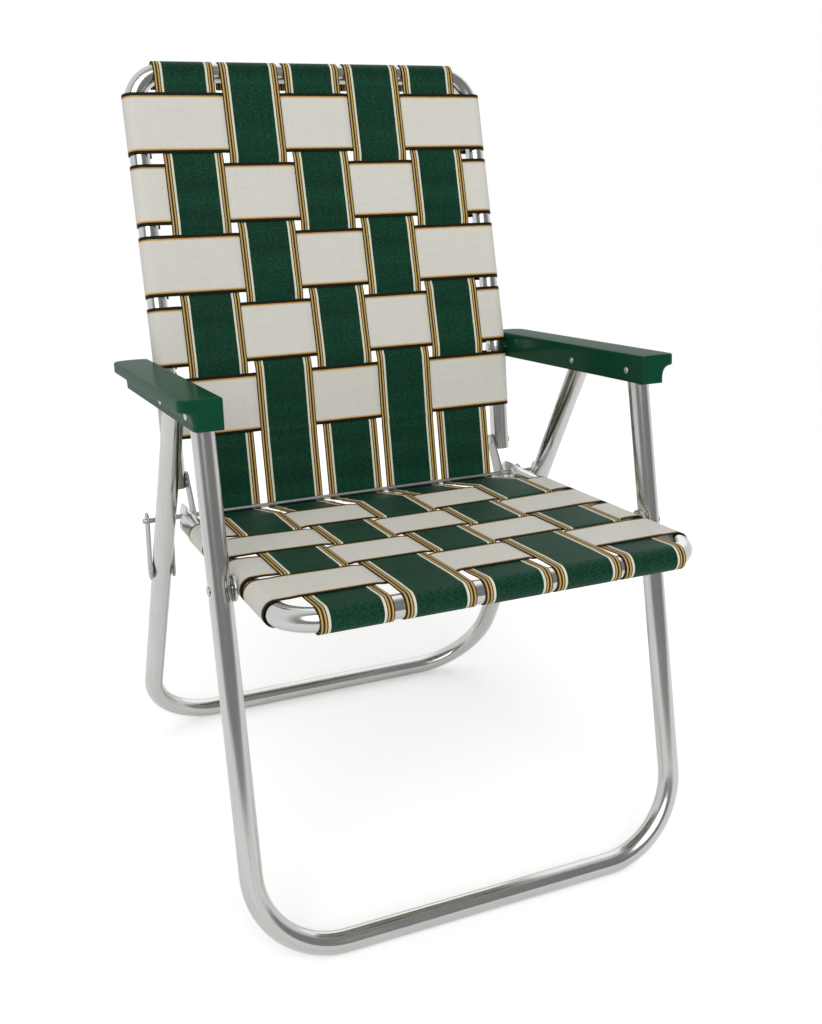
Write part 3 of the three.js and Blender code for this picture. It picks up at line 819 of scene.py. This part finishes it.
def arm_section():
    """The outline across an armrest: a cove under the outer lip, and a channel from below."""
    inner = ARM_INNER_X
    body = ARM_OUTER_X
    outer = ARM_INNER_X + ARM_TOP_WIDTH
    lip = ARM_TOP - ARM_LIP
    edge = 2.6
    lip_edge = 1.6
    foot_edge = 0.8
    cove_foot = (body + 0.4, -5)
    cove_top = (outer - lip_edge, lip - 0.2)
    shoulder = ARM_TOP - 0.45
    bend = ARM_TOP - 0.5
    crown = ARM_TOP + 0.4
    curves = [
        ((body, ARM_BOTTOM), (body, ARM_BOTTOM + 8), cove_foot, 5),
        (cove_foot, (body + 1.5, lip - 1.0), cove_top, 9),
        (cove_top, (outer, lip), (outer, lip + lip_edge), 3),
        ((outer, lip + lip_edge), (outer, ARM_TOP - 6), (outer, ARM_TOP - edge), 3),
        ((outer, ARM_TOP - edge), (outer, bend), (outer - edge, shoulder), 5),
        ((outer - edge, shoulder), ((inner + outer) / 2, crown), (inner + edge, shoulder), 10),
        ((inner + edge, shoulder), (inner, bend), (inner, ARM_TOP - edge), 5),
        ((inner, ARM_TOP - edge), (inner, 0), (inner, ARM_BOTTOM + foot_edge), 7),
        ((inner, ARM_BOTTOM + foot_edge), (inner, ARM_BOTTOM), (inner + foot_edge, ARM_BOTTOM), 2),
    ]
    outline = [curves[0][:1]] + [quadratic(*curve)[1:] for curve in curves]
    levels = (ARM_BOTTOM, 0, ARM_TOP - ARM_TOP_WALL)
    channel = [(inner + ARM_WALL, level) for level in levels]
    channel += [(body - ARM_WALL, level) for level in levels[::-1]]
    return np.concatenate(outline), np.array(channel, float)


def arm_reach(along):
    """How far out the armrest reaches there, with its rounded outer corners."""
    outer = ARM_INNER_X + ARM_TOP_WIDTH
    reach = outer
    for corner, left in ((ARM_FRONT_CORNER, along - ARM_START), (ARM_REAR_CORNER, ARM_END - along)):
        if left < corner:
            share = 1 - math.sqrt(max(left, 0) / corner)
            reach = min(reach, outer - corner * share * share)
    return reach


# Rings close together at the armrest's ends: how far from the end, and how far drawn in there
FRONT_CAP = ((-0.02, 5), (-0.01, 2.5), (0, 1.5), (0.3, 0.75), (0.8, 0.25), (1.6, 0))
REAR_CAP = ((-1.6, 0), (-0.8, 0.25), (-0.3, 0.7), (0, 1.3), (0.01, 2.3), (0.02, 5))
FRONT_RINGS = np.array([2.9, 5, 7, 9.5])
REAR_RINGS = np.array([36, 32, 28, 24, 20, 16, 12.5, 9, 6.5, 4.2])
PLAIN_END = 2.2
RIVET_SEAT_R = 10.0
RIVET_SEAT_EASE = 2.8
RIVET_SEAT_REACH = 14


def arm_stations(rivets):
    """Places along the armrest, how far its ring is drawn in there, and whether the channel is open."""
    front_wall = ARM_START + ARM_FRONT_WALL
    rear_wall = ARM_END - ARM_REAR_BLOCK
    wall_step = 0.02
    spots = set(np.round(np.arange(ARM_START + PLAIN_END, ARM_END - PLAIN_END, 5), 2))
    for rivet in rivets:
        spots |= set(np.round(np.arange(rivet[0] - RIVET_SEAT_REACH, rivet[0] + RIVET_SEAT_REACH, 1.75), 2))
    spots |= set(np.round(ARM_END - REAR_RINGS, 2))
    spots |= set(np.round(ARM_START + FRONT_RINGS, 2))
    stations = [(spot, 0, 1 if front_wall < spot < rear_wall else 0) for spot in sorted(spots)]
    stations += [(front_wall, 0, 0), (front_wall + wall_step, 0, 1)]
    stations += [(rear_wall - wall_step, 0, 1), (rear_wall, 0, 0)]
    stations += [(ARM_START + away, inset, 0) for away, inset in FRONT_CAP]
    stations += [(ARM_END + away, inset, 0) for away, inset in REAR_CAP]
    return sorted(stations)


def armrest(name, hand):
    outline, channel = arm_section()
    rivets = [
        flat((pivot - ARM_LEG) @ ARM_WAY, (pivot - ARM_LEG) @ ARM_UP) for pivot in (ARM_LEG, ARM_REAR_LEG)
    ]
    width = ARM_TOP_WIDTH
    level = ARM_OUTER_X + 0.1
    rings, uv = [], []
    total = len(outline) + len(channel)
    for along, inset, deep in arm_stations(rivets):
        # The flare of the cove is cut back to a flat round seat for each rivet head
        skin = outline.copy()
        for rivet in rivets:
            away = np.hypot(along - rivet[0], skin[:, 1] - rivet[1])
            near = np.clip((RIVET_SEAT_R - away) / RIVET_SEAT_EASE, 0, 1)
            sunk = (skin[:, 0] > level) & (skin[:, 1] < ARM_TOP - ARM_LIP + 0.5)
            skin[:, 0] = np.where(sunk, skin[:, 0] + (level - skin[:, 0]) * near, skin[:, 0])
        hollow = channel.copy()
        hollow[:, 1] = ARM_BOTTOM + (hollow[:, 1] - ARM_BOTTOM) * deep
        ring = np.concatenate([skin, hollow])
        share = (arm_reach(along) - ARM_INNER_X) / width
        ring[:, 0] = ARM_INNER_X + (ring[:, 0] - ARM_INNER_X) * share
        middle = flat(ARM_INNER_X + width * share / 2, ARM_TOP - ARM_HEIGHT / 2)
        half = flat(width * share / 2, ARM_HEIGHT / 2)
        ring = middle + (ring - middle) * np.maximum(1 - inset / half, 0.2)
        spot = ARM_LEG + along * ARM_WAY + ring[:, 1:] * ARM_UP
        rings.append(np.column_stack([hand * ring[:, 0], spot]))
        reach = travelled(ring)
        around = np.append(reach, reach[-1] + 5)
        uv.append(np.stack([around * MM, np.full(total + 1, along * MM)], axis=1))
    return loft(name, rings, ARM_FINISH, np.array(uv), sharp=32)


for hand_name, hand in HANDS:
    settle(armrest(f"moulded_armrest_{hand_name}", hand), "armrests", "armrest", f"armrest_{hand_name}")


# Webbing
def slope_ends(centres):
    return [centre + side * SLOPE_START for centre in centres for side in (-1, 1)]


def waved(place, centres, signs, start, end):
    """The height of a woven run: a sign at each crossing, and a slope in each gap between them."""
    knots = [start] + slope_ends(centres) + [end]
    heights = [0] + [sign for sign in signs for _ in (0, 1)] + [0]
    index = int(np.clip(np.searchsorted(knots, place) - 1, 0, len(knots) - 2))
    share = (place - knots[index]) / max(knots[index + 1] - knots[index], 1e-6)
    return heights[index] + (heights[index + 1] - heights[index]) * float(smooth(share))


def woven_places(start, end, centres):
    """Places along a woven run, closer together on the slope between two crossings."""
    knots = slope_ends(centres)
    slopes = [first + (last - first) * share for first, last in zip(knots[1::2], knots[2::2])
              for share in (0, 0.33, 0.67, 1)]
    fine = [place for place in [knots[0]] + slopes + [knots[-1]] if start < place < end]
    even = np.linspace(start, end, round((end - start) / STEP) + 1)
    apart = 0.5
    return sorted(fine + [place for place in even if min(abs(place - spot) for spot in fine) > apart])


def arc(centre, radius, start, end):
    steps = max(4, round(abs(end - start) / math.radians(9)))
    return [centre + radius * flat(math.cos(a), math.sin(a)) for a in np.linspace(start, end, steps + 1)]


def straight(start, end):
    """The points between two ends, without the ends."""
    steps = max(2, round(np.linalg.norm(end - start) / STEP))
    return [start + (end - start) * share for share in np.linspace(0, 1, steps + 1)[1:-1]]


def strap_section(width):
    """Points round a strap's section: across it, and through its thickness."""
    half, thick = width / 2, WEB_THICKNESS / 2
    across = np.linspace(-half + thick, half - thick, 15)
    turn = np.radians([60, 20, -20, -60])
    top = [(a, thick) for a in across]
    right = [(half - thick + thick * math.cos(a), thick * math.sin(a)) for a in turn]
    bottom = [(a, -thick) for a in across[::-1]]
    left = [(-a, -b) for a, b in right]
    return np.array(top + right + bottom + left)


def strap_rings(path, place, width=WEB_WIDTH):
    """Rings along a flat path. place turns a path point and a place across into a point of the chair."""
    section = strap_section(width)
    path = np.array(path)
    ways = np.diff(path, axis=0)
    ways /= np.linalg.norm(ways, axis=1)[:, None]
    tangents = np.vstack([ways[:1], ways[1:] + ways[:-1], ways[-1:]])
    tangents /= np.linalg.norm(tangents, axis=1)[:, None]
    reach = travelled(path)
    rings, uv = [], []
    closed = np.vstack([section, section[:1]])
    # A narrower strap carries the whole pattern too
    widest = WEB_WIDTH / width
    for spot, tangent, distance in zip(path, tangents, reach):
        out = flat(-tangent[1], tangent[0])
        ring = [place(spot + out * through, across, distance) for across, through in section]
        rings.append(np.array(ring))
        across_uv = (closed[:, 0] * widest + WEB_WIDTH / 2) * MM
        uv.append(np.stack([across_uv, np.full(len(closed), distance * MM)], axis=1))
    return np.array(rings), np.array(uv), reach[-1]


def sagged(rings):
    """The webbing gives a little in the middle of the seat and of the back."""
    outer_side = 4
    past_rod = 30
    rings = rings.copy()
    spread = np.clip(1 - (rings[..., 0] / (RAIL_X - TUBE_R)) ** 2, 0, 1)
    spot = rings[..., 1:]
    seat_along = (spot - SEAT_FRONT) @ SEAT_WAY
    seat_above = (spot - SEAT_FRONT) @ SEAT_UP
    on_seat = (spot[..., 0] < ROD[0]) & (seat_above > outer_side) & (seat_along > 0)
    seat_drop = SEAT_SAG * spread * np.sin(np.pi * np.clip(seat_along / SEAT_LENGTH, 0, 1))
    back_along = (spot - BACK_TOP) @ UPPER_WAY
    back_above = (spot - BACK_TOP) @ ahead_of(UPPER_WAY)
    full = UPPER_LENGTH + np.linalg.norm(ARM_BACK - ROD)
    on_back = ~on_seat & (spot[..., 1] > ROD[1] + past_rod) & (back_above > outer_side) & (back_along > 0)
    back_drop = BACK_SAG * spread * np.sin(np.pi * np.clip(back_along / full, 0, 1))
    move = np.where(on_seat, seat_drop, 0)[..., None] * -SEAT_UP
    move = move + np.where(on_back, back_drop, 0)[..., None] * -ahead_of(UPPER_WAY)
    rings[..., 1:] = spot + move
    return rings


def seat_row(row):
    """The place of a cross strap's middle along the seat, from the front rail."""
    return SEAT_ROW_START + row * SEAT_ROW_PITCH


def back_row(row):
    """The place of a cross strap's middle down the back, from the top rail."""
    return BACK_ROW_START + row * BACK_ROW_PITCH


def long_sign(row, strap):
    """Below a row where row and strap are both odd or both even, above it elsewhere."""
    return -1 if (row + strap) % 2 == 0 else 1


def long_path(strap):
    """From the tuck under the front rail, under the rod, to the tuck behind the top rail."""
    seat_run = seat_row(SEAT_ROWS - 1) + WEB_WIDTH / 2
    back_run = back_row(BACK_ROWS - 1) + WEB_WIDTH / 2 + BACK_LEAD
    seat_centres = [seat_row(row) for row in range(SEAT_ROWS)]
    back_centres = [back_row(row) for row in range(BACK_ROWS)]
    seat_signs = [LONG_WAVE * long_sign(row, strap) for row in range(SEAT_ROWS)]
    back_signs = [LONG_WAVE * long_sign(row, strap) for row in range(BACK_ROWS)]

    front = math.atan2(-SEAT_UP[1], -SEAT_UP[0])
    tail = [SEAT_FRONT - SEAT_UP * WEB_OFFSET + SEAT_WAY * reach for reach in np.arange(WEB_TAIL, 0, -STEP)]
    path = tail + arc(SEAT_FRONT, WEB_OFFSET, front, front - math.pi)
    for along in woven_places(0, seat_run, seat_centres)[1:]:
        height = waved(along, seat_centres, seat_signs, 0, seat_run + 1)
        path.append(seat_point(along, WEB_OFFSET + height))

    # Round the rod, from where a line from the seat touches it to where one to the back leaves it
    def touch(point, turn):
        away = point - ROD
        return math.atan2(away[1], away[0]) + turn * math.acos(ROD_WRAP_R / np.linalg.norm(away))

    back_lead = back_point(back_run, WEB_OFFSET)
    leave = touch(back_lead, -1)
    meet = touch(path[-1], 1) - 2 * math.pi
    wrap = arc(ROD, ROD_WRAP_R, meet, leave)
    path += straight(path[-1], wrap[0]) + wrap + straight(wrap[-1], back_lead)
    for along in woven_places(0, back_run, back_centres)[:0:-1]:
        path.append(back_point(along, WEB_OFFSET + waved(along, back_centres, back_signs, 0, back_run)))
    up = ahead_of(UPPER_WAY)
    top = math.atan2(up[1], up[0])
    path += arc(BACK_TOP, WEB_OFFSET, top, top - math.pi)
    tuck = np.arange(STEP, WEB_TAIL + 0.1, STEP)
    path += [BACK_TOP - up * WEB_OFFSET + UPPER_WAY * reach for reach in tuck]
    return path


def long_centre(strap, share):
    """The strap's place across the chair, at a share of its length from the front."""
    return LONG_AT_FRONT[strap] + (LONG_AT_TOP[strap] - LONG_AT_FRONT[strap]) * share


ALONG_ALL = travelled(np.array(long_path(0)))[-1]
for strap in range(len(LONG_AT_FRONT)):
    def along_strap(spot, across, distance):
        return at(long_centre(strap, distance / ALONG_ALL) + across, spot)

    rings, uv, length = strap_rings(long_path(strap), along_strap)
    piece = loft(f"long_strap_{strap + 1}", sagged(rings), GREEN_FINISH, uv)
    settle(piece, None, "green_webbing", f"seat_long_strap_{strap + 1}", f"back_long_strap_{strap + 1}")
    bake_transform(piece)


def cross_path(centres, signs):
    """From the tuck under the left tube, over both tubes, to the tuck under the right one."""
    left, right = flat(-RAIL_X, 0), flat(RAIL_X, 0)
    path = [flat(-RAIL_X + reach, -WEB_OFFSET) for reach in np.arange(WEB_TAIL, 0, -STEP)]
    path += arc(left, WEB_OFFSET, -math.pi / 2, -3 * math.pi / 2)
    for x in woven_places(-RAIL_X, RAIL_X, centres)[1:-1]:
        path.append(flat(x, WEB_OFFSET + waved(x, centres, signs, -RAIL_X + TUBE_R, RAIL_X - TUBE_R)))
    path += arc(right, WEB_OFFSET, math.pi / 2, -math.pi / 2)
    path += [flat(RAIL_X - reach, -WEB_OFFSET) for reach in np.arange(STEP, WEB_TAIL + 0.1, STEP)]
    return path


def cross_strap(name, width, centre, way, up, centres, signs, body, node):
    """A strap across the chair. centre is its middle in the side view; way runs across it, up outwards."""
    def place(spot, across, distance):
        return at(spot[0], centre + up * spot[1] + way * across)

    rings, uv, length = strap_rings(cross_path(centres, signs), place, width)
    piece = loft(name, sagged(rings), CREAM_FINISH, uv)
    settle(piece, body, "cream_webbing", node)


def crossings(row, share):
    """Where the long straps cross a row, and on which side of each the row passes."""
    centres = [long_centre(strap, share) for strap in range(len(LONG_AT_FRONT))]
    signs = [-CROSS_WAVE * long_sign(row, strap) for strap in range(len(centres))]
    return centres, signs


for row in range(SEAT_ROWS):
    along = seat_row(row)
    centres, signs = crossings(row, (along + STRAP_LEAD) / ALONG_ALL)
    cross_strap(f"seat_row_{row + 1}", SEAT_ROW_WIDTH, seat_point(along, 0), SEAT_WAY, SEAT_UP,
                centres, signs, "seat", f"seat_cross_strap_{row + 1}")
for row in range(BACK_ROWS):
    along = back_row(row)
    way = UPPER_WAY if along < UPPER_LENGTH else LOWER_WAY
    centres, signs = crossings(row, 1 - (along + STRAP_LEAD) / ALONG_ALL)
    cross_strap(f"back_row_{row + 1}", WEB_WIDTH, back_point(along, 0), way, ahead_of(way),
                centres, signs, "back", f"back_cross_strap_{row + 1}")


# Floor, light and surroundings. The floor's half width and drop are in metres.
FLOOR_HALF = 1.8
FLOOR_DROP = 0.0003
FLOOR_WHITE = 0.27
FLOOR_WHITE_IN_METAL = 0.2
ROOM_DIMMER_SIDE = (0.0, -0.95, 0.29)
ROOM_RANGE = {"From Min": 0.10, "From Max": 0.58, "To Min": 0.90, "To Max": 0.25}
ROOM_FILL = 0.6


def add_floor():
    """A plain pale floor. A little white is added for the camera, and less of it in metal."""
    half = FLOOR_HALF
    corner_points = [(-half, -half, 0), (half, -half, 0), (half, half, 0), (-half, half, 0)]
    mesh = bpy.data.meshes.new("floor")
    mesh.from_pydata(corner_points, [], [(0, 1, 2, 3)])
    finish = Finish("floor_paint", Roughness=0.9, Specular_IOR_Level=0.1)
    mottle = finish.noise(finish.place(), 1.5, 2.0)
    finish.paint("Base Color", finish.mix(mottle, tint(250, 250, 249), tint(252, 252, 252)))
    path = finish.add("ShaderNodeLightPath")
    finish.shader.inputs["Emission Color"].default_value = (1, 1, 1, 1)
    in_metal = finish.math("MULTIPLY", path.outputs["Is Glossy Ray"], FLOOR_WHITE_IN_METAL)
    seen = finish.math("MAXIMUM", path.outputs["Is Camera Ray"], in_metal)
    seen = finish.math("MAXIMUM", seen, path.outputs["Is Transmission Ray"])
    finish.paint("Emission Strength", finish.math("MULTIPLY", seen, FLOOR_WHITE))
    mesh.materials.append(finish.material)
    floor = bpy.data.objects.new("floor", mesh)
    floor.location.z = -FLOOR_DROP
    bpy.context.scene.collection.objects.link(floor)
    floor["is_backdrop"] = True


def add_surroundings():
    """White all round for the camera, an even fill light, and in reflections a room with a dimmer side."""
    world = bpy.data.worlds.new("studio")
    bpy.context.scene.world = world
    world.use_nodes = True
    tree = world.node_tree
    background = tree.nodes["Background"]
    background.inputs["Color"].default_value = (1, 1, 1, 1)
    direction = tree.nodes.new("ShaderNodeTexCoord").outputs["Generated"]
    facing = tree.nodes.new("ShaderNodeVectorMath")
    facing.operation = "DOT_PRODUCT"
    tree.links.new(direction, facing.inputs[0])
    facing.inputs[1].default_value = ROOM_DIMMER_SIDE
    room = tree.nodes.new("ShaderNodeMapRange")
    room.interpolation_type = "SMOOTHSTEP"
    for socket, value in ROOM_RANGE.items():
        room.inputs[socket].default_value = value
    tree.links.new(facing.outputs["Value"], room.inputs["Value"])
    path = tree.nodes.new("ShaderNodeLightPath")

    def combine(operation, first, second):
        node = tree.nodes.new("ShaderNodeMath")
        node.operation = operation
        for socket, value in zip(node.inputs, (first, second)):
            if isinstance(value, bpy.types.NodeSocket):
                tree.links.new(value, socket)
            else:
                socket.default_value = value
        return node.outputs[0]

    mirrored_room = combine("MULTIPLY", path.outputs["Is Glossy Ray"], room.outputs["Result"])
    lit = combine("MULTIPLY", path.outputs["Is Diffuse Ray"], ROOM_FILL)
    seen = combine("MAXIMUM", path.outputs["Is Camera Ray"], path.outputs["Is Transmission Ray"])
    strength = combine("MAXIMUM", combine("ADD", mirrored_room, lit), seen)
    tree.links.new(strength, background.inputs["Strength"])


def add_sun(name, strength, angle, source):
    """A soft lamp that shines from the source's direction, as wide as the angle in degrees."""
    data = bpy.data.lights.new(name, "SUN")
    data.energy = strength
    data.angle = math.radians(angle)
    lamp = bpy.data.objects.new(name, data)
    lamp.rotation_euler = Vector(source).to_track_quat("Z", "Y").to_euler()
    bpy.context.scene.collection.objects.link(lamp)


add_floor()
add_surroundings()
add_sun("key", 1.36, 50, (-0.30, -0.72, 0.62))
add_sun("back", 0.35, 60, (0.5, 0.6, 0.62))
bpy.context.scene.view_settings.view_transform = "Standard"


def corners(box):
    return [list(corner) for corner in box]


bpy.context.view_layer.update()
{"cad": corners(cad_box), "visual": corners(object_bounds())}
